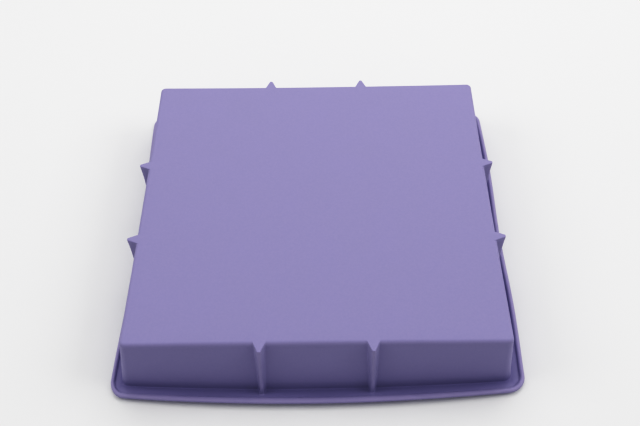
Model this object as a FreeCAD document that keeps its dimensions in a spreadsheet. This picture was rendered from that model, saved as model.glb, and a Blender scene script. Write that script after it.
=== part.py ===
"""Square slab mould of soft silicone, standing upside down on its rim.

The mould is one moulding. It is modelled here as its working regions, each a separate
solid that meets its neighbours face to face:

    base_panel               the flat bottom of the mould, uppermost as it stands here
    wall_front and so on     the four side walls, splayed a little and mitred at the corners
    flange_front and so on   the flat flange round the mouth, mitred at the corners
    rim_bead_front ...       the round bead along the outer edge of the flange
    rib_front_left ...       eight tapered ribs that steady the walls

Millimetres. +Z is up, the rim stands on Z = 0, and the origin is under the middle of the
mould. The four sides are alike, so each piece is drawn once as a front piece, on the -Y
side, and turned a quarter turn at a time about +Z.
"""
import FreeCAD, Part
import math
import os
import Sketcher

DIMENSIONS = [
    # alias, value, what it is
    ("base_width", 201.0, "outer width and depth of the base panel"),
    ("overall_height", 35.0, "rim to base"),
    ("panel_thickness", 3.0, "thickness of the base panel"),
    ("wall_thickness", 2.5, "thickness of the side walls, measured level"),
    ("wall_splay", 2.1, "how far each wall leans out from base to flange"),
    ("corner_radius", 3.0, "upright corners of the base and walls"),
    ("edge_fillet", 2.2, "rounded edge of the base panel"),
    ("flange_overhang", 7.2, "foot of the wall to the outside of the bead"),
    ("flange_thickness", 1.4, "thickness of the flange plate"),
    ("bead_diameter", 2.8, "round bead along the flange's edge"),
    ("rim_corner_radius", 9.5, "outside corners of the rim, seen from above"),
    ("rib_spacing", 58.0, "centre to centre of the two ribs on a side"),
    ("rib_reach_top", 5.0, "how far a rib stands out beyond the base panel"),
    ("rib_reach_foot", 2.6, "how far a rib stands out from the foot of the wall"),
    ("rib_root_width", 5.8, "width of a rib where it leaves the wall"),
    ("rib_foot_width", 3.6, "width of the same root down at the flange"),
    ("rib_tip_width", 2.0, "width of the rib's outer edge"),
]

# Lines that several pieces share, as expressions on the sheet.
BASE_HALF = "(sheet.base_width / 2)"
FOOT_HALF = "(sheet.base_width / 2 + sheet.wall_splay)"
RIM_HALF = f"({FOOT_HALF} + sheet.flange_overhang)"
BEAD_RADIUS = "(sheet.bead_diameter / 2)"
PLATE_HALF = f"({RIM_HALF} - {BEAD_RADIUS})"
PANEL_UNDERSIDE = "(sheet.overall_height - sheet.panel_thickness)"
CLEAR_OF_ALL = f"(2 * {RIM_HALF})"
BELOW_ALL = "-sheet.flange_thickness"
WALL_HEIGHT = f"({PANEL_UNDERSIDE} - sheet.flange_thickness)"
WALL_LEAN = f"atan(sheet.wall_splay / {WALL_HEIGHT})"
RIB_OFFSET = "(sheet.rib_spacing / 2)"

# Side name, its turn from the front, and the names of its two ends, low X end first
# when the piece is still drawn at the front.
SIDES = [
    ("front", 0, ("left", "right")),
    ("right", 90, ("front", "back")),
    ("back", 180, ("right", "left")),
    ("left", 270, ("back", "front")),
]

# How closely a computed shape has to agree with the sheet: heights and widths in
# millimetres, and one side's share of a ring.
HEIGHT_TOLERANCE = 1e-6
WIDTH_TOLERANCE = 1e-4
SHARE_TOLERANCE = 0.01
SHORTEST_UPRIGHT = 1.0

doc = FreeCAD.newDocument("slab_mould")


def fill_sheet():
    """Put the driving dimensions in the document's sheet, one row each."""
    sheet = doc.addObject("Spreadsheet::Sheet", "sheet")
    for row, (alias, value, meaning) in enumerate(DIMENSIONS, start=1):
        sheet.set(f"A{row}", meaning)
        sheet.set(f"B{row}", str(value))
        sheet.setAlias(f"B{row}", alias)
    doc.recompute()


def new_body(name):
    """Start an empty body whose label is the name of its piece."""
    body = doc.addObject("PartDesign::Body", name)
    body.Label = name
    return body


def origin_feature(body, role):
    """One of the body's own origin planes or axes, found by its role."""
    return next(item for item in body.Origin.OriginFeatures if item.Role == role)


def new_sketch(body, name, role, offset=None):
    """Add a sketch on an origin plane, lifted along the plane's normal by an expression."""
    sketch = body.newObject("Sketcher::SketchObject", name)
    sketch.AttachmentSupport = [(origin_feature(body, role), "")]
    sketch.MapMode = "FlatFace"
    if offset:
        sketch.setExpression("AttachmentOffset.Base.z", offset)
    return sketch


def value_of(expression):
    """The number that an expression on the sheet gives, to start a sketch near its shape."""
    values = {alias: value for alias, value, meaning in DIMENSIONS}
    text = expression.replace("sheet.", "")
    for alias in sorted(values, key=len, reverse=True):
        text = text.replace(alias, repr(values[alias]))
    return FreeCAD.Units.parseQuantity(text).Value


def pin_point(sketch, geometry, end, across, along):
    """Tie a point to the sheet by its distances from the sketch's origin."""
    for axis, expression in (("DistanceX", across), ("DistanceY", along)):
        index = sketch.addConstraint(
            Sketcher.Constraint(axis, -1, 1, geometry, end, value_of(expression)))
        sketch.setExpression(f"Constraints[{index}]", expression)


def polygon(sketch, corners):
    """Draw a closed outline of straight lines through corners given as expressions."""
    points = [FreeCAD.Vector(value_of(x), value_of(y), 0) for x, y in corners]
    count = len(points)
    lines = [Part.LineSegment(points[i], points[(i + 1) % count]) for i in range(count)]
    sketch.addGeometry(lines, False)
    for i in range(count):
        sketch.addConstraint(Sketcher.Constraint("Coincident", i, 2, (i + 1) % count, 1))
    for i, (x, y) in enumerate(corners):
        pin_point(sketch, i, 1, x, y)


def square(sketch, half):
    """Draw a square about the origin with the given half width."""
    low, high = f"-{half}", f"{half}"
    polygon(sketch, [(low, low), (high, low), (high, high), (low, high)])


def pad(body, sketch, length, name):
    """Raise a sketch into a solid along its normal."""
    feature = body.newObject("PartDesign::Pad", name)
    feature.Profile = sketch
    feature.setExpression("Length", length)
    doc.recompute()
    return feature


def pocket_up(body, sketch, length, name):
    """Cut a sketch away upwards, and stop if it cuts nothing."""
    whole = body.Shape.Volume
    feature = body.newObject("PartDesign::Pocket", name)
    feature.Profile = sketch
    feature.Reversed = True
    feature.setExpression("Length", length)
    doc.recompute()
    if feature.Shape.Volume >= whole:
        raise RuntimeError(f"{name} cut nothing")
    return feature


def check_width(feature, height, half):
    """Stop if a tapered feature isn't as wide as it should be at one height."""
    at_height = [vertex.Point for vertex in feature.Shape.Vertexes
                 if abs(vertex.Point.z - value_of(height)) < HEIGHT_TOLERANCE]
    widest = max(abs(point.x) for point in at_height)
    if abs(widest - value_of(half)) > WIDTH_TOLERANCE:
        raise RuntimeError(f"{feature.Label} is {widest:.3f} wide, not {value_of(half):.3f}")


def loft(body, kind, low_sketch, high_sketch, name):
    """Join two sketches with straight sides, adding or cutting."""
    feature = body.newObject(f"PartDesign::{kind}Loft", name)
    feature.Profile = low_sketch
    feature.Sections = [high_sketch]
    feature.Ruled = True
    doc.recompute()
    return feature


def fillet(body, base, edges, radius, name):
    """Round the chosen edges of a feature."""
    feature = body.newObject("PartDesign::Fillet", name)
    feature.Base = (base, edges)
    feature.setExpression("Radius", radius)
    doc.recompute()
    return feature


def upright_edges(feature):
    """Names of the straight edges that run from one level to another."""
    names = []
    for number, edge in enumerate(feature.Shape.Edges, start=1):
        ends = [vertex.Point for vertex in edge.Vertexes]
        if len(ends) == 2 and abs(ends[0].z - ends[1].z) > SHORTEST_UPRIGHT:
            names.append(f"Edge{number}")
    return names


def edges_at_height(feature, height):
    """Names of the edges that lie wholly at one height."""
    names = []
    for number, edge in enumerate(feature.Shape.Edges, start=1):
        box = edge.BoundBox
        if max(abs(box.ZMin - height), abs(box.ZMax - height)) < HEIGHT_TOLERANCE:
            names.append(f"Edge{number}")
    return names


def keep_front_quarter(body, name):
    """Cut a square ring away along both diagonals, so that only its front side is left."""
    whole = body.Shape.Volume
    sketch = new_sketch(body, f"{name}_mitre", "XY_Plane", BELOW_ALL)
    far = CLEAR_OF_ALL
    polygon(sketch, [("0", "0"), (far, f"-{far}"), (far, far), (f"-{far}", far),
                     (f"-{far}", f"-{far}")])
    cut = body.newObject("PartDesign::Pocket", f"{name}_mitre_cut")
    cut.Profile = sketch
    cut.Reversed = True
    cut.setExpression("Length", CLEAR_OF_ALL)
    doc.recompute()
    left_over = cut.Shape.Volume / whole
    if abs(left_over - 1 / len(SIDES)) > SHARE_TOLERANCE:
        raise RuntimeError(f"{name}: the mitre left {left_over:.3f} of the ring")


def turn(body, angle):
    """Turn a finished front piece to its own side of the mould."""
    body.Placement = FreeCAD.Placement(
        FreeCAD.Vector(0, 0, 0), FreeCAD.Rotation(FreeCAD.Vector(0, 0, 1), angle))


def make_base_panel():
    """The flat bottom: a plate with rounded edges and a lug over the top of each rib."""
    body = new_body("base_panel")
    plate_sketch = new_sketch(body, "plate_outline", "XY_Plane", PANEL_UNDERSIDE)
    square(plate_sketch, BASE_HALF)
    plate = pad(body, plate_sketch, "sheet.panel_thickness", "plate")
    corners = fillet(body, plate, upright_edges(plate), "sheet.corner_radius", "corners")
    edges = edges_at_height(corners, value_of("sheet.overall_height"))
    fillet(body, corners, edges, "sheet.edge_fillet", "rounded_edge")

    lugs_sketch = new_sketch(body, "lug_outlines", "XY_Plane", PANEL_UNDERSIDE)
    lug_pair(lugs_sketch)
    lugs = pad(body, lugs_sketch, "sheet.panel_thickness", "front_lugs")
    ring = body.newObject("PartDesign::PolarPattern", "lugs_all_round")
    ring.Originals = [lugs]
    ring.Axis = (origin_feature(body, "Z_Axis"), [""])
    ring.Angle = 360
    ring.Occurrences = len(SIDES)
    body.Tip = ring
    doc.recompute()
    return body


def lug_pair(sketch):
    """Draw the two front lugs as one sketch: each starts well inside the plate's edge."""
    inner = f"-({BASE_HALF} - 2 * sheet.edge_fillet)"
    edge = f"-{BASE_HALF}"
    tip = f"-({BASE_HALF} + sheet.rib_reach_top)"
    for number, sign in enumerate(("-", "")):
        middle = f"{sign}{RIB_OFFSET}"
        corners = [
            (f"{middle} - sheet.rib_root_width / 2", inner),
            (f"{middle} - sheet.rib_root_width / 2", edge),
            (f"{middle} - sheet.rib_tip_width / 2", tip),
            (f"{middle} + sheet.rib_tip_width / 2", tip),
            (f"{middle} + sheet.rib_root_width / 2", edge),
            (f"{middle} + sheet.rib_root_width / 2", inner),
        ]
        first = 6 * number
        points = [FreeCAD.Vector(value_of(x), value_of(y), 0) for x, y in corners]
        lines = [Part.LineSegment(points[i], points[(i + 1) % 6]) for i in range(6)]
        sketch.addGeometry(lines, False)
        for i in range(6):
            following = first + (i + 1) % 6
            sketch.addConstraint(Sketcher.Constraint("Coincident", first + i, 2, following, 1))
        for i, (x, y) in enumerate(corners):
            pin_point(sketch, first + i, 1, x, y)


def make_wall(side, angle):
    """One side wall: a ring that widens towards the flange, mitred to a single side."""
    body = new_body(f"wall_{side}")
    outer = new_sketch(body, f"{side}_outer_foot", "XY_Plane", "sheet.flange_thickness")
    square(outer, FOOT_HALF)
    block = pad(body, outer, WALL_HEIGHT, f"{side}_block")
    block.setExpression("TaperAngle", f"-{WALL_LEAN}")
    doc.recompute()
    check_width(block, PANEL_UNDERSIDE, BASE_HALF)
    fillet(body, block, upright_edges(block), "sheet.corner_radius", f"{side}_corners")

    inner = new_sketch(body, f"{side}_inner_foot", "XY_Plane", "sheet.flange_thickness")
    square(inner, f"({FOOT_HALF} - sheet.wall_thickness)")
    cavity = pocket_up(body, inner, WALL_HEIGHT, f"{side}_cavity")
    cavity.setExpression("TaperAngle", f"-{WALL_LEAN}")
    doc.recompute()
    check_width(cavity, PANEL_UNDERSIDE, BASE_HALF)
    keep_front_quarter(body, f"wall_{side}")
    turn(body, angle)
    return body


def make_flange(side, angle):
    """One side of the flat flange, from the mouth of the cavity out to the bead."""
    body = new_body(f"flange_{side}")
    plate_sketch = new_sketch(body, f"{side}_plate_outline", "XY_Plane")
    square(plate_sketch, PLATE_HALF)
    plate = pad(body, plate_sketch, "sheet.flange_thickness", f"{side}_plate")
    fillet(body, plate, upright_edges(plate), f"sheet.rim_corner_radius - {BEAD_RADIUS}",
           f"{side}_plate_corners")
    mouth_sketch = new_sketch(body, f"{side}_mouth_outline", "XY_Plane", BELOW_ALL)
    square(mouth_sketch, f"({FOOT_HALF} - sheet.wall_thickness)")
    pocket_up(body, mouth_sketch, CLEAR_OF_ALL, f"{side}_mouth")
    keep_front_quarter(body, f"flange_{side}")
    turn(body, angle)
    return body


def bead_section(sketch, centre_line):
    """Draw the bead's section, a circle with a step cut out where it sits on the plate.

    In the sketch, the first axis runs along Y and the second up Z. The circle stands on
    Z = 0 with its centre on centre_line. The step's faces lie on the plate's outer edge
    and on its top.
    """
    radius = value_of(BEAD_RADIUS)
    middle = value_of(centre_line)
    step = value_of("sheet.flange_thickness")
    reach = math.sqrt(radius ** 2 - (step - radius) ** 2)
    centre = FreeCAD.Vector(middle, radius, 0)
    lift = FreeCAD.Vector(0, 0, 1)
    start = FreeCAD.Vector(middle + reach, step, 0).sub(centre)
    start_angle = FreeCAD.Vector(1, 0, 0).getAngle(start)
    foot_angle = math.radians(270)
    arc = Part.ArcOfCircle(Part.Circle(centre, lift, radius), start_angle, foot_angle)
    foot = FreeCAD.Vector(middle, 0, 0)
    notch = FreeCAD.Vector(middle, step, 0)
    landing = FreeCAD.Vector(middle + reach, step, 0)
    sketch.addGeometry([arc, Part.LineSegment(foot, notch), Part.LineSegment(notch, landing)], False)
    sketch.addConstraint([
        Sketcher.Constraint("Coincident", 0, 2, 1, 1),
        Sketcher.Constraint("Coincident", 1, 2, 2, 1),
        Sketcher.Constraint("Coincident", 2, 2, 0, 1),
    ])
    pin_point(sketch, 0, 3, centre_line, BEAD_RADIUS)
    pin_point(sketch, 1, 1, centre_line, "0")
    sketch.addConstraint(Sketcher.Constraint("Vertical", 1))
    sketch.addConstraint(Sketcher.Constraint("Horizontal", 2))
    height = sketch.addConstraint(Sketcher.Constraint("DistanceY", 1, 1, 1, 2, step))
    sketch.setExpression(f"Constraints[{height}]", "sheet.flange_thickness")


def make_bead(side, angle):
    """One side of the rim bead: a straight run and an eighth of a turn round each corner."""
    body = new_body(f"rim_bead_{side}")
    corner = f"({RIM_HALF} - sheet.rim_corner_radius)"
    centre_line = f"-{PLATE_HALF}"
    straight_sketch = new_sketch(body, f"{side}_section", "YZ_Plane", f"-{corner}")
    bead_section(straight_sketch, centre_line)
    pad(body, straight_sketch, f"2 * {corner}", f"{side}_straight")
    for end, sign in (("low", "-"), ("high", "")):
        end_sketch = new_sketch(body, f"{side}_{end}_section", "YZ_Plane", f"{sign}{corner}")
        bead_section(end_sketch, centre_line)
        axis_foot = FreeCAD.Vector(-value_of(corner), 0, 0)
        axis_top = FreeCAD.Vector(-value_of(corner), value_of("sheet.bead_diameter"), 0)
        axis = end_sketch.addGeometry(Part.LineSegment(axis_foot, axis_top), True)
        pin_point(end_sketch, axis, 1, f"-{corner}", "0")
        pin_point(end_sketch, axis, 2, f"-{corner}", "sheet.bead_diameter")
        bend = body.newObject("PartDesign::Revolution", f"{side}_{end}_bend")
        bend.Profile = end_sketch
        bend.ReferenceAxis = (end_sketch, ["Axis0"])
        bend.Angle = 45
        bend.Reversed = sign == "-"
        doc.recompute()
    turn(body, angle)
    return body


def make_rib(side, angle, end, sign):
    """One rib: its outer edge stands nearly upright while the wall behind it leans out."""
    body = new_body(f"rib_{side}_{end}")
    middle = f"{sign}{RIB_OFFSET}"
    levels = [
        ("foot", "sheet.flange_thickness", f"-{FOOT_HALF}",
         f"-({FOOT_HALF} + sheet.rib_reach_foot)", "sheet.rib_foot_width"),
        ("top", PANEL_UNDERSIDE, f"-{BASE_HALF}",
         f"-({BASE_HALF} + sheet.rib_reach_top)", "sheet.rib_root_width"),
    ]
    sketches = []
    for level, height, root, tip, root_width in levels:
        sketch = new_sketch(body, f"{side}_{end}_{level}", "XY_Plane", height)
        polygon(sketch, [
            (f"{middle} - {root_width} / 2", root),
            (f"{middle} - sheet.rib_tip_width / 2", tip),
            (f"{middle} + sheet.rib_tip_width / 2", tip),
            (f"{middle} + {root_width} / 2", root),
        ])
        sketches.append(sketch)
    loft(body, "Additive", sketches[0], sketches[1], f"{side}_{end}_fin")
    turn(body, angle)
    return body


def check_document(pieces):
    """Stop if any object failed to compute or any piece isn't one sound solid."""
    for item in doc.Objects:
        if "Invalid" in item.State or "Error" in item.State:
            raise RuntimeError(f"{item.Label} did not compute: {item.State}")
    for piece in pieces:
        shape = piece.Shape
        if shape.isNull() or not shape.isValid() or len(shape.Solids) != 1:
            raise RuntimeError(f"{piece.Label} is not one valid solid")


def main():
    """Build every piece, check it and write its file."""
    fill_sheet()
    pieces = [make_base_panel()]
    for side, angle, ends in SIDES:
        pieces.append(make_wall(side, angle))
        pieces.append(make_flange(side, angle))
        pieces.append(make_bead(side, angle))
        for end, sign in zip(ends, ("-", "")):
            pieces.append(make_rib(side, angle, end, sign))
    doc.recompute()
    check_document(pieces)
    os.makedirs("parts", exist_ok=True)
    for piece in pieces:
        piece.Shape.exportStep(f"parts/{piece.Label}.step")
        box = piece.Shape.BoundBox
        print(f"{piece.Label:18s} {piece.Shape.Volume:10.1f} mm3  "
              f"X {box.XMin:7.2f} {box.XMax:7.2f}  Y {box.YMin:7.2f} {box.YMax:7.2f}  "
              f"Z {box.ZMin:6.2f} {box.ZMax:6.2f}")


main()
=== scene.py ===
import math

import bpy
import numpy as np
from bpy.props import FloatProperty, FloatVectorProperty, PointerProperty
from bpy.types import Operator, Panel, PropertyGroup
from mathutils import Matrix, Vector


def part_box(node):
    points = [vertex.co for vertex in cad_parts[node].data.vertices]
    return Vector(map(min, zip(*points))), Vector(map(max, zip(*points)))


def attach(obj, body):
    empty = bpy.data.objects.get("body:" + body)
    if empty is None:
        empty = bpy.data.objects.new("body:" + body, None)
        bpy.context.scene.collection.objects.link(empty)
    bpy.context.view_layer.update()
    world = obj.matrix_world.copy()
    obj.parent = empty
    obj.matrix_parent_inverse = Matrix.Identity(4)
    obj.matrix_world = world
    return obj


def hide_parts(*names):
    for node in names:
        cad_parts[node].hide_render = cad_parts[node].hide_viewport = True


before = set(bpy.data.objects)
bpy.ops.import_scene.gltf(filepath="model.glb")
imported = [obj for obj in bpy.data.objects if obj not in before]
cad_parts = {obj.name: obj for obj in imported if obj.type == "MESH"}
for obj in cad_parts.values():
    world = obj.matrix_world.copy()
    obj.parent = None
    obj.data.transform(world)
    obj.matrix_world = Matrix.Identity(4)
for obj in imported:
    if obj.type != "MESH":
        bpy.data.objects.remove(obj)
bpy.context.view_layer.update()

bl_info = {
    "name": "Slab Soap Mould",
    "version": (1, 0, 0),
    "blender": (4, 5, 0),
    "location": "View3D > Sidebar > Slab Mould",
    "description": "Builds a soft silicone slab mould for soap around its packed frame",
    "category": "Add Mesh",
}

MM = 0.001

# ---------------------------------------------------------------------------
# Sizes that come from the frame
# ---------------------------------------------------------------------------

PANEL_LOW, PANEL_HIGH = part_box("base_panel")
WALL_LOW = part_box("wall_front")[0]
FLANGE_LOW, FLANGE_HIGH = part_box("flange_front")
BEAD_LOW, BEAD_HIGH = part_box("rim_bead_front")
RIB_LOW, RIB_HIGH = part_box("rib_front_right")

TOP_Z = PANEL_HIGH[2]
CEILING_Z = PANEL_LOW[2]
FLOOR_Z = FLANGE_HIGH[2]
BASE_HALF = -RIB_HIGH[1]
FOOT_HALF = -WALL_LOW[1]
MOUTH_HALF = -FLANGE_HIGH[1]
PLATE_HALF = -FLANGE_LOW[1]
RIM_HALF = -BEAD_LOW[1]
BEAD_RADIUS = BEAD_HIGH[2] / 2
RIB_OFFSET = (RIB_LOW[0] + RIB_HIGH[0]) / 2
RIB_ROOT = RIB_HIGH[0] - RIB_LOW[0]
RIB_REACH = -RIB_LOW[1] - BASE_HALF

# The four sides: name, quarter turns from the front, and the names of a side's two
# ends, low X end first while the side is still drawn at the front.
SIDES = (
    ("front", 0, ("left", "right")),
    ("right", 1, ("front", "back")),
    ("back", 2, ("right", "left")),
    ("left", 3, ("back", "front")),
)


class MouldSizes(PropertyGroup):
    """Sizes of the mould's roundings and ribs, and how far the soft sides have sagged."""

    corner_radius: FloatProperty(
        name="Wall corner", description="Upright corners of the base and walls",
        default=3.2 * MM, unit="LENGTH", precision=4)
    edge_radius: FloatProperty(
        name="Base edge", description="Rounded edge of the base panel",
        default=2.2 * MM, unit="LENGTH", precision=4)
    rim_corner: FloatProperty(
        name="Rim corner", description="Outside corners of the rim, seen from above",
        default=9.5 * MM, unit="LENGTH", precision=4)
    rib_tip_width: FloatProperty(
        name="Rib tip", description="Width of a rib's outer edge",
        default=1.5 * MM, unit="LENGTH", precision=4)
    rib_foot_width: FloatProperty(
        name="Rib foot", description="Width of a rib's root where it meets the flange",
        default=3.6 * MM, unit="LENGTH", precision=4)
    rib_foot_reach: FloatProperty(
        name="Rib foot reach", description="How far a rib's foot stands out from the wall",
        default=2.6 * MM, unit="LENGTH", precision=4)
    foot_bow: FloatProperty(
        name="Front foot bow", description="How far the foot of the front wall bows out",
        default=3.4 * MM, unit="LENGTH", precision=4)
    rim_bow: FloatProperty(
        name="Front rim bow", description="How much further the front rim bows than the wall",
        default=1.9 * MM, unit="LENGTH", precision=4)
    front_curl: FloatProperty(
        name="Front curl", description="How far the front rim curls up off the floor",
        default=2.5 * MM, unit="LENGTH", precision=4)
    side_curl: FloatProperty(
        name="Side curl", description="How far the side rims curl up off the floor",
        default=0.6 * MM, unit="LENGTH", precision=4)
    left_draw: FloatProperty(
        name="Left foot draw", description="How far the foot of the left side draws in",
        default=2.2 * MM, unit="LENGTH", precision=4)
    right_swell: FloatProperty(
        name="Right rim swell", description="How far the right rim swells in two places",
        default=1.0 * MM, unit="LENGTH", precision=4)
    side_hollow: FloatProperty(
        name="Side hollow", description="How far the side walls draw in at half height",
        default=1.4 * MM, unit="LENGTH", precision=4)
    edge_draw: FloatProperty(
        name="Edge draw", description="How far the base's edges draw in at their middles",
        default=0.3 * MM, unit="LENGTH", precision=4)


class SiliconeLook(PropertyGroup):
    """Colours and surface of the silicone, with painted shade at the walls' foot and pale
    edges that are partly a painted highlight.
    """

    body_colour: FloatVectorProperty(
        name="Silicone", description="Colour of the silicone", subtype="COLOR",
        size=3, min=0, max=1, default=(0.264, 0.242, 0.400))
    # Pale tone on rubbed edges, the bead and the rib tips, partly a painted highlight.
    wear_and_highlight_colour: FloatVectorProperty(
        name="Wear and highlight", description="Paler rubbed edges, partly a painted highlight", subtype="COLOR",
        size=3, min=0, max=1, default=(0.400, 0.345, 0.500))
    # Painted shade: a darker colour laid into the hollow where the walls meet the flange.
    painted_shade_colour: FloatVectorProperty(
        name="Painted shade", description="Painted shade in the hollow at the walls' foot",
        subtype="COLOR", size=3, min=0, max=1, default=(0.178, 0.160, 0.305))
    roughness: FloatProperty(
        name="Roughness", description="Roughness of the outside", default=0.62,
        min=0, max=1, subtype="FACTOR")
    inside_roughness: FloatProperty(
        name="Inside roughness", description="Roughness of the smoother cavity",
        default=0.42, min=0, max=1, subtype="FACTOR")


class StageLook(PropertyGroup):
    """Floor and light."""

    floor_colour: FloatVectorProperty(
        name="Floor", description="Colour of the floor", subtype="COLOR",
        size=3, min=0, max=1, default=(0.735, 0.735, 0.735))
    lamp_power: FloatProperty(
        name="Lamps", description="Power that the soft lamps share, in watts",
        default=60.0, min=0)
    sky_strength: FloatProperty(
        name="Sky", description="Strength of the even light from all round",
        default=0.615, min=0)


def sizes():
    """The sizes chosen in the scene."""
    return bpy.context.scene.mould_sizes


# ---------------------------------------------------------------------------
# Shape functions
# ---------------------------------------------------------------------------

# How far the painted shade reaches out from the foot of the walls.
PAINTED_SHADE_REACH = 7.0 * MM
SHARP_DEGREES = 38

# Where the bends act: a side's bends start at this share of the base's half width, the
# foot's bends below this share of the height, and the edge's draw in this share below the
# top. The back's hollow is a share of the other sides'.
SIDE_START = 0.35
FOOT_SHARE = 0.35
EDGE_SHARE = 0.5
BACK_HOLLOW = 0.5

# How the bends run along a side and down it. The curled front rim also comes forward, by a
# share of how far it has lifted.
BOW_SHIFT = 5.0 * MM
BOW_POWER = 1.2
BOW_GROWTH = 1.3
CURL_POWER = 6
CURL_REACH = 0.42
CORNER_HOLD = 0.8 * MM
HOLD_POWER = 8
BACK_SPREAD = 0.8 * MM
RIGHT_SLIP = 0.9 * MM
LEFT_SPLAY = 1.3 * MM


def quarter_turns(points, turns):
    """Turn points about +Z by whole quarter turns: each turn takes (x, y) to (-y, x)."""
    x, y, z = points[..., 0], points[..., 1], points[..., 2]
    for _ in range(turns):
        x, y = -y, x
    return np.stack([x, y, z], axis=-1)


def arch(u):
    """A hump along a side: one at the middle, u = 0, and zero at the corners, u = 1."""
    return np.clip(1.0 - u * u, 0.0, 1.0)


def smooth_step(low, high, x):
    """Zero below low, one above high, and 3f^2 - 2f^3 of the fraction f between."""
    f = np.clip((x - low) / (high - low), 0.0, 1.0)
    return f * f * (3.0 - 2.0 * f)


def relaxed(points):
    """Where points of the straight mould lie once its soft sides have sagged.

    Each side has a hump, one minus the square of the place along it, and its bends fade in
    from the middle of the mould. The front moves out by a slightly sharper hump, set a
    little to the left, times an amount that grows from the base to the foot of the wall and
    on across the flange. The front and side rims curl up off the floor, by one minus the
    sixth power of the place along the side. The other sides move in by the hump times a
    half sine of the height, and every edge of the base draws in a little at its middle.
    Low down, the left side draws in by the hump squared, and the right side swells by the
    squared sine that has one crest each side of the middle. The right side has also
    slipped a little towards the front, the front rim's corners hold back, the back corners
    of the base stand out a little, and the left front corner of the walls leans out
    further at its foot.
    """
    chosen = sizes()
    along_x, along_y = points[..., 0], points[..., 1]
    z = points[..., 2].copy()
    down = np.clip((TOP_Z - z) / (TOP_Z - FLOOR_Z), 0.0, 1.0)
    belly = chosen.side_hollow * np.sin(np.pi * down)
    edge = (1.0 - smooth_step(0.0, EDGE_SHARE, down)) * chosen.edge_draw
    low = 1.0 - smooth_step(FLOOR_Z, FOOT_SHARE * TOP_Z, z)
    front, back = (smooth_step(SIDE_START, 1.0, sign * along_y / BASE_HALF)
                   for sign in (-1, 1))
    left, right = (smooth_step(SIDE_START, 1.0, sign * along_x / BASE_HALF)
                   for sign in (-1, 1))
    hump_x, hump_y = arch(along_x / RIM_HALF), arch(along_y / RIM_HALF)

    bow = arch((along_x + BOW_SHIFT) / RIM_HALF) ** BOW_POWER
    across, across_x = (np.clip((out - FOOT_HALF) / (RIM_HALF - FOOT_HALF), 0.0, 1.0)
                        for out in (-along_y, np.abs(along_x)))
    bow = bow * (chosen.foot_bow * down ** BOW_GROWTH + chosen.rim_bow * across * low)
    curl = (front * across * low * chosen.front_curl
            * (1.0 - (along_x / RIM_HALF) ** CURL_POWER))
    hold = CORNER_HOLD * (along_x / RIM_HALF) ** HOLD_POWER * low
    spread = BACK_SPREAD * (1.0 - hump_x) * (1.0 - down)
    y = along_y - front * (bow - hold - hump_x * edge) - CURL_REACH * curl
    y = (y + back * (spread - hump_x * (BACK_HOLLOW * belly + edge))
         - right * hump_y * RIGHT_SLIP)
    side_curl = ((left + right) * across_x * low
                 * (1.0 - (along_y / RIM_HALF) ** CURL_POWER))
    z = z + curl + chosen.side_curl * side_curl

    crests = np.sin(np.pi * np.clip(along_y / RIM_HALF, -1.0, 1.0)) ** 2
    x = along_x + left * (hump_y * (belly + edge) + chosen.left_draw * hump_y ** 2 * low)
    x = x - left * front * LEFT_SPLAY * down * (1.0 - across_x)
    x = x - right * (hump_y * (belly + edge) - chosen.right_swell * crests * low)
    return np.stack([x, y, z], axis=-1)


def side_line(half, radius, arc_steps=10, run_steps=40):
    """Rounded squares seen from above, the front side only, from corner middle to middle.

    A point is (half - radius) (run, -1) + radius (cos turn, sin turn). The turn goes from
    225 to 270 degrees round the left corner, stays there along the straight run, where
    run goes from -1 to 1, and goes on to 315 degrees round the right corner. half and
    radius may be arrays, one value for each line.
    """
    turn = np.radians(np.concatenate([
        np.linspace(225, 270, arc_steps + 1), np.full(run_steps - 1, 270.0),
        np.linspace(270, 315, arc_steps + 1)]))
    run = np.concatenate([
        np.full(arc_steps + 1, -1.0), np.linspace(-1, 1, run_steps + 1)[1:-1],
        np.full(arc_steps + 1, 1.0)])
    half, radius = np.atleast_1d(half)[:, None], np.atleast_1d(radius)[:, None]
    x = (half - radius) * run + radius * np.cos(turn)
    y = -(half - radius) + radius * np.sin(turn)
    return x, y


def fin_line(root_half, reach, tip_half, root_radius, tip_radius, steps=8):
    """A rib seen from above, from one feathered root to the other, and its outward normals.

    Along the wall is t and out from the wall is o. The flank rises at the angle a from
    (-root_half, 0) to (-tip_half, reach). A hollow arc of root_radius joins the wall to
    the flank, a round arc of tip_radius joins the flank to the flat tip, and the second
    half mirrors the first. Each size may be an array, one value for each level.
    """
    root_half, reach, tip_half, root_radius, tip_radius = (
        np.atleast_1d(size)[:, None]
        for size in (root_half, reach, tip_half, root_radius, tip_radius))
    rise = np.arctan2(reach, root_half - tip_half)
    fraction = np.linspace(0, 1, steps + 1)[None, :]

    bend = rise * fraction
    start = -root_half - root_radius * np.tan(rise / 2)
    hollow_t = start + root_radius * np.sin(bend)
    hollow_o = root_radius * (1 - np.cos(bend))
    hollow_n = np.stack([-np.sin(bend), np.cos(bend)], axis=-1)

    bend = rise * (1 - fraction)
    centre = -tip_half + tip_radius * np.tan(rise / 2)
    round_t = centre - tip_radius * np.sin(bend)
    round_o = reach - tip_radius + tip_radius * np.cos(bend)
    round_n = np.stack([-np.sin(bend), np.cos(bend)], axis=-1)

    middle_t = hollow_t[:, -1:] * 0.5 + round_t[:, :1] * 0.5
    middle_o = hollow_o[:, -1:] * 0.5 + round_o[:, :1] * 0.5
    t = np.concatenate([hollow_t, middle_t, round_t], axis=1)
    o = np.concatenate([hollow_o, middle_o, round_o], axis=1)
    n = np.concatenate([hollow_n, hollow_n[:, -1:], round_n], axis=1)
    mirrored = n[:, ::-1] * np.array([-1.0, 1.0])
    return (np.concatenate([t, -t[:, ::-1]], axis=1),
            np.concatenate([o, o[:, ::-1]], axis=1),
            np.concatenate([n, mirrored], axis=1))


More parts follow.
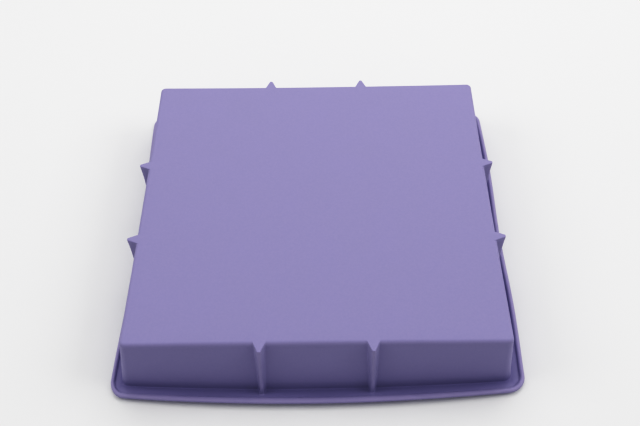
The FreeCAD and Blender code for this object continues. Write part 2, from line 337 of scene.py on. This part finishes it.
def grid_faces(rows, columns, close_rows=False, close_columns=False):
    """Four-cornered faces of a grid of points numbered row by row."""
    number = np.arange(rows * columns).reshape(rows, columns)
    if close_rows:
        number = np.vstack([number, number[:1]])
    if close_columns:
        number = np.hstack([number, number[:, :1]])
    return np.stack([number[:-1, :-1], number[:-1, 1:], number[1:, 1:], number[1:, :-1]],
                    axis=-1).reshape(-1, 4)


def painted_shade(points):
    """How much painted shade a point gets in the hollow at the walls' foot, from zero to one.

    It is the square of one minus the distance from the line where the straight wall meets
    the flange, taken as a share of the hollow's reach.
    """
    out = np.max(np.abs(points[..., :2]), axis=-1)
    far = np.hypot(out - FOOT_HALF, points[..., 2] - FLOOR_Z)
    return np.clip(1.0 - far / PAINTED_SHADE_REACH, 0.0, 1.0) ** 2


def new_piece(name, points, faces, wear_and_highlight, inside, nodes):
    """Make a mesh object from points of the straight mould, and hand it to the frame.

    The pale share is one on rubbed edges that also carry a painted highlight, and inside is
    one on the cavity's surface. Both are kept on the points for the material to read, with
    the share of painted shade at the walls' foot.
    """
    mesh = bpy.data.meshes.new(name)
    mesh.from_pydata(relaxed(points).tolist(), [], faces)
    mesh.validate()
    mesh.polygons.foreach_set("use_smooth", np.ones(len(mesh.polygons), dtype=bool))
    # The pale tone, partly a painted highlight, and the painted shade at the walls' foot go on
    # the points.
    for attribute, values in (("wear_and_highlight", wear_and_highlight), ("inside", inside),
                              ("painted_shade", painted_shade(points))):
        layer = mesh.attributes.new(attribute, "FLOAT", "POINT")
        layer.data.foreach_set("value", np.asarray(values, dtype=np.float32))
    mesh.set_sharp_from_angle(angle=math.radians(SHARP_DEGREES))
    mesh.materials.append(silicone())
    mesh.update()
    piece = bpy.data.objects.new(name, mesh)
    bpy.context.scene.collection.objects.link(piece)
    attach(piece, "root")
    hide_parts(*nodes)
    return piece


def sweep_side(name, half, radius, height, wear_and_highlight, inside, turns, node):
    """Carry a closed section along one side, and close both ends with mitred caps.

    The section's corner j runs along the rounded square of half width half[j] and corner
    radius[j] at height[j]. The section is listed so that the faces look outwards.
    """
    x, y = side_line(half, radius)
    sections, stations = x.shape
    z = np.repeat(np.asarray(height)[:, None], stations, axis=1)
    points = quarter_turns(np.stack([x, y, z], axis=-1), turns).reshape(-1, 3)
    faces = grid_faces(sections, stations, close_rows=True).tolist()
    first = (np.arange(sections) * stations).tolist()
    last = (np.arange(sections) * stations + stations - 1).tolist()
    faces += [first, last[::-1]]
    return new_piece(name, points, faces, np.repeat(wear_and_highlight, stations),
                     np.repeat(inside, stations), [node])


def quarter_arc(start, end, steps):
    """Angles in radians from start to end degrees, both ends included."""
    return np.radians(np.linspace(start, end, steps + 1))


def wall_half(z):
    """Half width of the outside of the walls at a height: it grows evenly downwards."""
    down = np.clip((CEILING_Z - z) / (CEILING_Z - FLOOR_Z), 0.0, 1.0)
    return BASE_HALF + (FOOT_HALF - BASE_HALF) * down


def join(*rows):
    """Join lists of (half width, height) points into two arrays."""
    return np.concatenate([np.stack(np.broadcast_arrays(*row)).reshape(2, -1) for row in rows],
                          axis=1)


# ---------------------------------------------------------------------------
# Pieces
# ---------------------------------------------------------------------------

PANEL_MARGIN = 8.0 * MM
CENTRE_SHARE = 0.02
# Pale tone on the base's edge, the bead and the rib tips: rubbed, and partly a painted
# highlight.
EDGE_WEAR_AND_HIGHLIGHT = 0.1
BEAD_WEAR_AND_HIGHLIGHT = 0.6
BEAD_WEAR_AND_HIGHLIGHT_TURN = 0.4
RIB_WEAR_AND_HIGHLIGHT = 0.5
RIB_WEAR_AND_HIGHLIGHT_POWER = 3
LUG_ROOT_RADIUS = 0.8 * MM
HOLLOW_STEPS = 8
EDGE_STEPS = 10
CORNER_STEPS = 10
RUN_STEPS = 13
FLARE_STEPS = 5
WALL_STEPS = 12
UNDERSIDE_RINGS = 8
TOP_RINGS = 22
CORNER_GROWTH = 0.5
FOOT_FLARE = 0.7 * MM
CEILING_FILLET = 2.2 * MM
BEAD_FILLET = 0.3 * MM
MOUTH_EDGE = 0.8 * MM
RIB_ROOT_RADIUS = 0.9 * MM
RIB_TIP_RADIUS = 0.6 * MM
RIB_EDGE = 0.4 * MM
INNER_CORNER = 2.6 * MM
BURIED = 0.4 * MM


def panel_front(inset, lug_inset):
    """Levels of the base panel's outline on the front side, corner middle to corner middle.

    inset says how far each level lies inside the panel's outline, and lug_inset how far it
    lies inside the lugs'. A lug's flanks slope by f = (root - tip) / reach, so at a level
    the root is root + inset f - lug_inset / cos(slope) half wide, where the flank meets the
    edge that has drawn back, and the tip stands inset - lug_inset further out from it.
    Gives x and y for each level and place, the same without the lugs, and how far each
    place belongs to a lug, from zero to one.
    """
    chosen = sizes()
    inset, lug_inset = inset[:, None], lug_inset[:, None]
    turn = quarter_arc(225, 270, CORNER_STEPS)[None, :]
    radius = chosen.corner_radius - inset
    corner_x = chosen.corner_radius - BASE_HALF + radius * np.cos(turn)
    corner_y = chosen.corner_radius - BASE_HALF + radius * np.sin(turn)

    tip_half = chosen.rib_tip_width / 2
    slope = (RIB_ROOT / 2 - tip_half) / RIB_REACH
    root = RIB_ROOT / 2 + inset * slope - lug_inset * math.hypot(1.0, slope)
    reach = RIB_REACH + inset - lug_inset
    t, o, normals = fin_line(root[:, 0], reach[:, 0], (root - reach * slope)[:, 0],
                             np.full(len(inset), LUG_ROOT_RADIUS),
                             RIB_TIP_RADIUS - lug_inset[:, 0])
    edge = np.broadcast_to(inset - BASE_HALF, t.shape)
    mirrored = corner_x[:, ::-1] * -1.0
    stops = (corner_x[:, -1:], t[:, :1] - RIB_OFFSET, t[:, -1:] - RIB_OFFSET,
             t[:, :1] + RIB_OFFSET, t[:, -1:] + RIB_OFFSET, mirrored[:, :1])
    along = np.linspace(0, 1, RUN_STEPS + 1)[None, 1:-1]
    runs = [first + (last - first) * along for first, last in zip(stops[0::2], stops[1::2])]
    run_y = np.broadcast_to(inset - BASE_HALF, runs[0].shape)
    x = np.concatenate([corner_x, runs[0], t - RIB_OFFSET, runs[1], t + RIB_OFFSET, runs[2],
                        mirrored[:, :-1]], axis=1)
    y, plain_y = (
        np.concatenate([corner_y, run_y, lug_y, run_y, lug_y, run_y,
                        corner_y[:, ::-1][:, :-1]], axis=1)
        for lug_y in (edge - o, edge))
    half = t.shape[1] // 2
    share = smooth_step(0.0, HOLLOW_STEPS, np.arange(half))
    share = np.concatenate([share, share[::-1]])
    none, short = np.zeros(RUN_STEPS - 1), np.zeros(corner_x.shape[1])
    share = np.concatenate([short, none, share, none, share, none, short[:-1]])
    return x, y, plain_y, share


def all_round(x, y):
    """Repeat levels of a front line on all four sides, as one closed line each."""
    front = np.stack([x, y, np.zeros_like(x)], axis=-1)
    return np.concatenate([quarter_turns(front, turns)[..., :2] for turns in range(4)],
                          axis=1)


def build_base_panel():
    """The base panel: rings that follow its outline, with eight lugs on it.

    The side rises straight, and then the rings are drawn in by R (1 - cos a) while they
    rise by R sin a, with one R for the panel's edge and a smaller one for the lugs'. On
    the top and underneath, the rings follow the outline without its lugs and shrink to
    the middle.
    """
    chosen = sizes()
    angle = np.concatenate([[0.0], quarter_arc(0, 90, EDGE_STEPS)])
    drawn, lug_drawn = (radius * (1 - np.cos(angle))
                        for radius in (chosen.edge_radius, RIB_EDGE))
    x, y, plain_y, share = panel_front(drawn, lug_drawn)
    share = np.tile(share, 4)[None, :]
    height, lug_height = (TOP_Z - radius * (1 - np.sin(angle))[:, None]
                          for radius in (chosen.edge_radius, RIB_EDGE))
    z = height + (lug_height - height) * share
    z[0] = CEILING_Z
    side = np.concatenate([all_round(x, y), z[..., None]], axis=-1)

    held = 1.0 - PANEL_MARGIN / BASE_HALF
    plain = all_round(x, plain_y)
    low = plain[0] * np.linspace(CENTRE_SHARE, held, UNDERSIDE_RINGS)[:, None, None]
    high = plain[-1] * np.linspace(held, CENTRE_SHARE, TOP_RINGS)[:, None, None]
    low = np.concatenate([low, np.full(low.shape[:2] + (1,), CEILING_Z)], axis=-1)
    high = np.concatenate([high, np.full(high.shape[:2] + (1,), TOP_Z)], axis=-1)
    rings = np.concatenate([low, side, high])
    levels, count = rings.shape[:2]
    wear_and_highlight, inside = np.zeros((levels, count)), np.zeros((levels, count))
    # Pale tone on the lugs and round the base's edge, partly a painted highlight.
    lug_wear_and_highlight = np.clip((plain_y - y) / RIB_REACH, 0, 1) ** RIB_WEAR_AND_HIGHLIGHT_POWER
    lug_wear_and_highlight = RIB_WEAR_AND_HIGHLIGHT * np.tile(lug_wear_and_highlight, 4)
    wear_and_highlight[len(low):len(low) + len(angle)] = np.maximum(
        EDGE_WEAR_AND_HIGHLIGHT * np.sin(2 * angle)[:, None] ** 2, lug_wear_and_highlight * np.cos(angle)[:, None] ** 2)
    inside[:len(low)] = 1.0

    faces = grid_faces(levels, count, close_columns=True).tolist()
    ring = np.arange(count)
    following = np.roll(ring, -1)
    low_middle = np.full(count, levels * count)
    top = (levels - 1) * count
    faces += np.stack([following, ring, low_middle], axis=-1).tolist()
    faces += np.stack([top + ring, top + following, low_middle + 1], axis=-1).tolist()
    points = np.vstack([rings.reshape(-1, 3), [0, 0, CEILING_Z], [0, 0, TOP_Z]])
    return new_piece("base_panel_soft", points, faces, np.append(wear_and_highlight, [0, 0]),
                     np.append(inside, [1, 0]), ["base_panel"])


def build_walls():
    """Four walls, each a closed section carried along its side of the mould.

    The section rises from a small flare on the flange, leans in to the base panel, turns
    under the ceiling with a hollow fillet and comes down the cavity.
    """
    chosen = sizes()
    thick = FOOT_HALF - MOUTH_HALF
    flare = quarter_arc(270, 180, FLARE_STEPS)
    flare_half = wall_half(FLOOR_Z + FOOT_FLARE) + FOOT_FLARE * (1 + np.cos(flare))
    flare_z = FLOOR_Z + FOOT_FLARE * (1 + np.sin(flare))
    outer_z = np.linspace(FLOOR_Z + FOOT_FLARE, CEILING_Z, WALL_STEPS + 1)[1:]
    turn = quarter_arc(90, 0, 6)
    fillet_half = BASE_HALF - thick - CEILING_FILLET * (1 - np.cos(turn))
    fillet_z = CEILING_Z - CEILING_FILLET * (1 - np.sin(turn))
    inner_z = np.linspace(CEILING_Z - CEILING_FILLET, FLOOR_Z, 11)[1:]
    inner_half = np.interp(inner_z, [FLOOR_Z, CEILING_Z - CEILING_FILLET],
                           [MOUTH_HALF, BASE_HALF - thick])
    half, z = join((flare_half, flare_z), (wall_half(outer_z), outer_z),
                   (fillet_half, fillet_z), (inner_half, inner_z))
    outer = len(flare) + len(outer_z)
    radius = np.full(len(half), INNER_CORNER)
    radius[:outer] = chosen.corner_radius + CORNER_GROWTH * (half[:outer] - BASE_HALF)
    inside = np.ones(len(half))
    inside[:outer] = 0.0
    wear_and_highlight = np.zeros(len(half))
    for side, turns, _ in SIDES:
        sweep_side(f"wall_{side}_soft", half, radius, z, wear_and_highlight, inside, turns, f"wall_{side}")


def build_flange():
    """Four flange strips: a flat plate whose top turns up in a hollow fillet to the bead.

    The fillet touches the floor and the bead's circle. Its centre is the bead's radius
    plus its own from the bead's centre, and its own radius above the floor.
    """
    chosen = sizes()
    rise = FLOOR_Z + BEAD_FILLET - BEAD_RADIUS
    reach = math.sqrt((BEAD_RADIUS + BEAD_FILLET) ** 2 - rise ** 2)
    first = -math.degrees(math.atan2(rise, reach))
    turn = quarter_arc(first, -90, 5)
    fillet_half = PLATE_HALF - reach + BEAD_FILLET * np.cos(turn)
    fillet_z = FLOOR_Z + BEAD_FILLET * (1 + np.sin(turn))
    floor_half = np.linspace(PLATE_HALF - reach, MOUTH_HALF, 9)[1:]
    edge = quarter_arc(180, 270, 5)
    edge_half = MOUTH_HALF + MOUTH_EDGE * (1 + np.cos(edge))
    edge_z = MOUTH_EDGE * (1 + np.sin(edge))
    under_half = np.linspace(MOUTH_HALF + MOUTH_EDGE, PLATE_HALF, 7)[1:]
    half, z = join((PLATE_HALF, BEAD_RADIUS), (fillet_half, fillet_z), (floor_half, FLOOR_Z),
                   (edge_half, edge_z), (under_half, 0.0))
    outer_radius = chosen.rim_corner - BEAD_RADIUS
    radius = np.interp(half, [MOUTH_HALF, PLATE_HALF], [INNER_CORNER, outer_radius])
    for side, turns, _ in SIDES:
        sweep_side(f"flange_{side}_soft", half, radius, z, np.zeros(len(half)),
                   np.zeros(len(half)), turns, f"flange_{side}")


def build_rim_bead():
    """Four lengths of round bead: a circle carried along the rim and round its corners.

    The wear is the squared sine of the turn round the circle, and it is most a little
    The pale tone, rubbed and partly a painted highlight, is the squared sine of the turn round
    the circle, and it is most a little outwards from the top.
    """
    chosen = sizes()
    angle = np.radians(np.linspace(-90, 270, 25)[:-1])
    half = PLATE_HALF + BEAD_RADIUS * np.cos(angle)
    z = BEAD_RADIUS * (1 + np.sin(angle))
    radius = chosen.rim_corner - BEAD_RADIUS + BEAD_RADIUS * np.cos(angle)
    # Pale tone round the bead, most on its upper outer side: rubbed, and partly a painted
    # highlight.
    wear_and_highlight = BEAD_WEAR_AND_HIGHLIGHT * np.clip(np.sin(angle + BEAD_WEAR_AND_HIGHLIGHT_TURN), 0, 1) ** 2
    for side, turns, _ in SIDES:
        sweep_side(f"rim_bead_{side}_soft", half, radius, z, wear_and_highlight, np.zeros(len(half)),
                   turns, f"rim_bead_{side}")


def build_ribs():
    """Eight ribs: levels of one seen-from-above line that shrinks towards the flange.

    Each level has its own root width and reach. Near the flange the line swells along
    its normal by r (1 + cos a) while it drops by r sin a, so the rib flares like the wall.
    The back of each rib lies a little way inside the wall.
    """
    chosen = sizes()
    flare = quarter_arc(270, 180, FLARE_STEPS)
    swell = np.concatenate([FOOT_FLARE * (1 + np.cos(flare)), np.zeros(WALL_STEPS)])
    z = np.concatenate([FLOOR_Z + FOOT_FLARE * (1 + np.sin(flare)),
                        np.linspace(FLOOR_Z + FOOT_FLARE, CEILING_Z, WALL_STEPS + 1)[1:]])
    down = (CEILING_Z - z) / (CEILING_Z - FLOOR_Z)
    root = RIB_ROOT / 2 + (chosen.rib_foot_width / 2 - RIB_ROOT / 2) * down
    reach = RIB_REACH + (chosen.rib_foot_reach - RIB_REACH) * down
    t, o, n = fin_line(root, reach, chosen.rib_tip_width / 2, RIB_ROOT_RADIUS,
                       RIB_TIP_RADIUS)
    # Pale tone towards the rib's outer edge: rubbed, and partly a painted highlight.
    wear_and_highlight = RIB_WEAR_AND_HIGHLIGHT * np.clip(o / RIB_REACH, 0, 1) ** RIB_WEAR_AND_HIGHLIGHT_POWER
    t = t + swell[:, None] * n[..., 0]
    o = o + swell[:, None] * n[..., 1]
    t = np.concatenate([t[:, :1], t, t[:, -1:]], axis=1)
    o = np.pad(o, ((0, 0), (1, 1)), constant_values=-BURIED)
    wear_and_highlight = np.pad(wear_and_highlight, ((0, 0), (1, 1)))
    levels, stations = t.shape
    faces = grid_faces(levels, stations, close_columns=True).tolist()
    bottom = np.arange(stations)
    top = (levels - 1) * stations + np.arange(stations)
    faces += [bottom[::-1].tolist(), top.tolist()]
    for side, turns, ends in SIDES:
        for end, sign in zip(ends, (-1, 1)):
            points = np.stack([t + sign * RIB_OFFSET, -wall_half(z)[:, None] - o,
                               np.repeat(z[:, None], stations, axis=1)], axis=-1)
            points = quarter_turns(points, turns).reshape(-1, 3)
            new_piece(f"rib_{side}_{end}_soft", points, faces, wear_and_highlight.ravel(),
                      np.zeros(points.shape[0]), [f"rib_{side}_{end}"])


# ---------------------------------------------------------------------------
# Material
# ---------------------------------------------------------------------------

def add_node(tree, kind, inputs=(), **settings):
    """Add a node, set its options and plain input values, and return it."""
    node = tree.nodes.new(kind)
    for key, value in settings.items():
        setattr(node, key, value)
    for key, value in dict(inputs).items():
        node.inputs[key].default_value = value
    return node


def link(tree, source, target):
    """Join an output socket to an input socket."""
    tree.links.new(source, target)


def silicone():
    """Matte silicone: a soft mottle, painted shade at the walls' foot, pale rubbed edges that
    are partly a painted highlight, and a fine grain.
    """
    ready = bpy.data.materials.get("soft_silicone")
    if ready:
        return ready
    look = bpy.context.scene.silicone_look
    material = bpy.data.materials.new("soft_silicone")
    material.use_nodes = True
    tree = material.node_tree
    shader = tree.nodes["Principled BSDF"]
    shader.inputs["IOR"].default_value = 1.42
    shader.inputs["Sheen Weight"].default_value = 0.10
    shader.inputs["Sheen Roughness"].default_value = 0.45
    place = add_node(tree, "ShaderNodeTexCoord").outputs["Object"]

    mottle = add_node(tree, "ShaderNodeTexNoise",
                      {"Scale": 45.0, "Detail": 4.0, "Roughness": 0.6})
    speckle = add_node(tree, "ShaderNodeTexNoise",
                       {"Scale": 900.0, "Detail": 2.0, "Roughness": 0.5})
    for texture in (mottle, speckle):
        link(tree, place, texture.inputs["Vector"])

    body = tuple(look.body_colour)
    tint = add_node(tree, "ShaderNodeValToRGB")
    tint.color_ramp.elements[0].position = 0.3
    tint.color_ramp.elements[0].color = (*[c * 0.985 for c in body], 1)
    tint.color_ramp.elements[1].position = 0.7
    tint.color_ramp.elements[1].color = (*[c * 1.015 for c in body], 1)
    link(tree, mottle.outputs["Fac"], tint.inputs["Fac"])
    grain = add_node(tree, "ShaderNodeMapRange",
                     {"From Min": 0.35, "From Max": 0.65, "To Min": 0.0, "To Max": 0.06})
    link(tree, speckle.outputs["Fac"], grain.inputs["Value"])
    grained = add_node(tree, "ShaderNodeMix", data_type="RGBA", blend_type="MIX")
    grained.inputs["B"].default_value = (*look.wear_and_highlight_colour, 1)
    link(tree, grain.outputs["Result"], grained.inputs["Factor"])
    link(tree, tint.outputs["Color"], grained.inputs["A"])

    # Pale tone on the rubbed edges, the bead and the rib tips, partly a painted highlight.
    wear_and_highlight = add_node(tree, "ShaderNodeAttribute", attribute_name="wear_and_highlight")
    broken = add_node(tree, "ShaderNodeMath", operation="MULTIPLY")
    link(tree, wear_and_highlight.outputs["Fac"], broken.inputs[0])
    link(tree, mottle.outputs["Fac"], broken.inputs[1])
    wear_and_highlight_mix = add_node(tree, "ShaderNodeMix", data_type="RGBA", blend_type="MIX")
    wear_and_highlight_mix.inputs["B"].default_value = (*look.wear_and_highlight_colour, 1)
    link(tree, broken.outputs["Value"], wear_and_highlight_mix.inputs["Factor"])
    # Painted shade darkens the colour in the hollow at the walls' foot.
    deep = add_node(tree, "ShaderNodeAttribute", attribute_name="painted_shade")
    painted_shade_mix = add_node(tree, "ShaderNodeMix", data_type="RGBA", blend_type="MIX")
    painted_shade_mix.inputs["B"].default_value = (*look.painted_shade_colour, 1)
    link(tree, deep.outputs["Fac"], painted_shade_mix.inputs["Factor"])
    link(tree, grained.outputs["Result"], painted_shade_mix.inputs["A"])
    link(tree, painted_shade_mix.outputs["Result"], wear_and_highlight_mix.inputs["A"])
    link(tree, wear_and_highlight_mix.outputs["Result"], shader.inputs["Base Color"])

    inside = add_node(tree, "ShaderNodeAttribute", attribute_name="inside")
    outside_rough = add_node(tree, "ShaderNodeMapRange",
                             {"From Min": 0.3, "From Max": 0.7,
                              "To Min": look.roughness - 0.05,
                              "To Max": look.roughness + 0.05})
    link(tree, mottle.outputs["Fac"], outside_rough.inputs["Value"])
    rough = add_node(tree, "ShaderNodeMix", {"B": look.inside_roughness}, data_type="FLOAT")
    link(tree, inside.outputs["Fac"], rough.inputs["Factor"])
    link(tree, outside_rough.outputs["Result"], rough.inputs["A"])
    link(tree, rough.outputs["Result"], shader.inputs["Roughness"])

    wave = add_node(tree, "ShaderNodeTexNoise", {"Scale": 14.0, "Detail": 1.0})
    link(tree, place, wave.inputs["Vector"])
    broad = add_node(tree, "ShaderNodeBump", {"Strength": 0.35, "Distance": 0.0006})
    link(tree, wave.outputs["Fac"], broad.inputs["Height"])
    fine = add_node(tree, "ShaderNodeBump", {"Strength": 0.25, "Distance": 0.00005})
    link(tree, speckle.outputs["Fac"], fine.inputs["Height"])
    link(tree, broad.outputs["Normal"], fine.inputs["Normal"])
    link(tree, fine.outputs["Normal"], shader.inputs["Normal"])
    return material


def floor_material():
    """Matte white board with the faintest unevenness in its tone."""
    look = bpy.context.scene.stage_look
    material = bpy.data.materials.new("pale_floor")
    material.use_nodes = True
    tree = material.node_tree
    shader = tree.nodes["Principled BSDF"]
    shader.inputs["Roughness"].default_value = 0.8
    shader.inputs["Specular IOR Level"].default_value = 0.2
    place = add_node(tree, "ShaderNodeTexCoord").outputs["Object"]
    cloud = add_node(tree, "ShaderNodeTexNoise", {"Scale": 4.0, "Detail": 2.0})
    link(tree, place, cloud.inputs["Vector"])
    tone = add_node(tree, "ShaderNodeValToRGB")
    pale = tuple(look.floor_colour)
    tone.color_ramp.elements[0].color = (*[c * 0.99 for c in pale], 1)
    tone.color_ramp.elements[1].color = (*[c * 1.01 for c in pale], 1)
    link(tree, cloud.outputs["Fac"], tone.inputs["Fac"])
    link(tree, tone.outputs["Color"], shader.inputs["Base Color"])
    return material


# ---------------------------------------------------------------------------
# Stage
# ---------------------------------------------------------------------------

IMAGE_WIDTH = 640
SENSOR_WIDTH = 36.0

# Contrast of the finished picture: light in, and light out.
TONE_CURVE = ((0.05, 0.016), (0.10, 0.033), (0.17, 0.072), (0.32, 0.208), (0.52, 0.460),
              (0.79, 0.760))
TONE_WHITE = 0.88
# The same for blue alone, which has a little more of it in the deep tones.
BLUE_CURVE = ((0.04, 0.048), (0.10, 0.117), (0.20, 0.217), (0.40, 0.403))


def set_tone():
    """Give the picture a studio print's contrast, and a little blue in its deep tones."""
    view = bpy.context.scene.view_settings
    view.view_transform = "Standard"
    view.use_curve_mapping = True
    curve = view.curve_mapping.curves[3]
    for light_in, light_out in TONE_CURVE:
        curve.points.new(light_in, light_out)
    curve.points[-1].location = (1.0, TONE_WHITE)
    for light_in, light_out in BLUE_CURVE:
        view.curve_mapping.curves[2].points.new(light_in, light_out)
    view.curve_mapping.update()


def build_camera():
    """A camera in front of the mould and above it, looking down on the base panel."""
    focal = 940.2
    place = Vector((6.41, -370.8, 430.2)) * MM
    yaw, pitch, roll = -0.01152, 0.83256, -0.02104
    forward = Vector((math.sin(yaw) * math.cos(pitch), math.cos(yaw) * math.cos(pitch),
                      -math.sin(pitch)))
    level = Vector((math.cos(yaw), -math.sin(yaw), 0))
    lift = level.cross(forward)
    right = level * math.cos(roll) + lift * math.sin(roll)
    up = -level * math.sin(roll) + lift * math.cos(roll)
    data = bpy.data.cameras.new("camera")
    data.sensor_width = SENSOR_WIDTH
    data.lens = focal * SENSOR_WIDTH / IMAGE_WIDTH
    data.clip_start, data.clip_end = 0.01, 50
    camera = bpy.data.objects.new("camera", data)
    turn = Matrix((right, up, -forward)).transposed()
    camera.matrix_world = Matrix.Translation(place) @ turn.to_4x4()
    bpy.context.scene.collection.objects.link(camera)
    bpy.context.scene.camera = camera


def aim(thing, target):
    """Turn a lamp to shine at a point."""
    direction = Vector(target) - thing.location
    thing.rotation_euler = direction.to_track_quat("-Z", "Y").to_euler()


# Soft lamps: name, place, width, height, and power as a share of the stage's lamp power.
LAMPS = (
    ("left softbox", (-1.3, 0.0, 1.1), 1.0, 0.8, 0.125),
    ("right softbox", (1.3, 0.0, 1.1), 1.0, 0.8, 0.155),
    ("far right softbox", (1.0, 1.0, 1.1), 1.0, 0.8, 0.045),
    ("back softbox", (0.0, 0.45, 0.75), 0.8, 0.5, 0.055),
)


def build_lights():
    """Soft lamps to the left, to the right and behind, and a faint even sky."""
    look = bpy.context.scene.stage_look
    for name, place, width, height, share in LAMPS:
        data = bpy.data.lights.new(name, "AREA")
        data.shape = "RECTANGLE"
        data.size, data.size_y = width, height
        data.energy = look.lamp_power * share
        lamp = bpy.data.objects.new(name, data)
        lamp.location = place
        bpy.context.scene.collection.objects.link(lamp)
        aim(lamp, (0.0, 0.0, 0.0))

    world = bpy.data.worlds.new("sky")
    world.use_nodes = True
    background = world.node_tree.nodes["Background"]
    background.inputs["Color"].default_value = (1.0, 1.0, 1.0, 1)
    background.inputs["Strength"].default_value = look.sky_strength
    bpy.context.scene.world = world


def build_floor():
    """A wide level sheet under the rim."""
    reach = 4.0
    corners = [(-reach, -reach, 0), (reach, -reach, 0), (reach, reach, 0), (-reach, reach, 0)]
    mesh = bpy.data.meshes.new("floor")
    mesh.from_pydata(corners, [], [(0, 1, 2, 3)])
    mesh.materials.append(floor_material())
    floor = bpy.data.objects.new("floor", mesh)
    bpy.context.scene.collection.objects.link(floor)


# ---------------------------------------------------------------------------
# Operators and panel
# ---------------------------------------------------------------------------

class MOULD_OT_base_panel(Operator):
    """Build the flat base panel with its rounded edge and eight lugs"""
    bl_idname = "mould.base_panel"
    bl_label = "Base Panel"

    def execute(self, context):
        build_base_panel()
        return {"FINISHED"}


class MOULD_OT_walls(Operator):
    """Build the four leaning side walls"""
    bl_idname = "mould.walls"
    bl_label = "Walls"

    def execute(self, context):
        build_walls()
        return {"FINISHED"}


class MOULD_OT_flange(Operator):
    """Build the flat flange round the mouth"""
    bl_idname = "mould.flange"
    bl_label = "Flange"

    def execute(self, context):
        build_flange()
        return {"FINISHED"}


class MOULD_OT_rim_bead(Operator):
    """Build the round bead along the flange's edge"""
    bl_idname = "mould.rim_bead"
    bl_label = "Rim Bead"

    def execute(self, context):
        build_rim_bead()
        return {"FINISHED"}


class MOULD_OT_ribs(Operator):
    """Build the eight tapered ribs"""
    bl_idname = "mould.ribs"
    bl_label = "Ribs"

    def execute(self, context):
        build_ribs()
        return {"FINISHED"}


class MOULD_OT_stage(Operator):
    """Set the camera, the light and the floor"""
    bl_idname = "mould.stage"
    bl_label = "Stage"

    def execute(self, context):
        set_tone()
        build_camera()
        build_lights()
        build_floor()
        return {"FINISHED"}


class MOULD_PT_sidebar(Panel):
    """Sizes, colours and the buttons that build each piece"""
    bl_idname = "MOULD_PT_sidebar"
    bl_label = "Slab Mould"
    bl_space_type = "VIEW_3D"
    bl_region_type = "UI"
    bl_category = "Slab Mould"

    def draw(self, context):
        for group in (context.scene.mould_sizes, context.scene.silicone_look,
                      context.scene.stage_look):
            box = self.layout.box()
            for name in group.__annotations__:
                box.prop(group, name)
        for operator in OPERATORS:
            self.layout.operator(operator.bl_idname)


OPERATORS = (MOULD_OT_base_panel, MOULD_OT_walls, MOULD_OT_flange, MOULD_OT_rim_bead,
             MOULD_OT_ribs, MOULD_OT_stage)
CLASSES = (MouldSizes, SiliconeLook, StageLook, *OPERATORS, MOULD_PT_sidebar)


def register():
    for cls in CLASSES:
        bpy.utils.register_class(cls)
    bpy.types.Scene.mould_sizes = PointerProperty(type=MouldSizes)
    bpy.types.Scene.silicone_look = PointerProperty(type=SiliconeLook)
    bpy.types.Scene.stage_look = PointerProperty(type=StageLook)


def unregister():
    del bpy.types.Scene.stage_look
    del bpy.types.Scene.silicone_look
    del bpy.types.Scene.mould_sizes
    for cls in reversed(CLASSES):
        bpy.utils.unregister_class(cls)


def main():
    """Register the add-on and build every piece."""
    register()
    bpy.ops.mould.base_panel()
    bpy.ops.mould.walls()
    bpy.ops.mould.flange()
    bpy.ops.mould.rim_bead()
    bpy.ops.mould.ribs()
    bpy.ops.mould.stage()


if __name__ == "__main__":
    main()
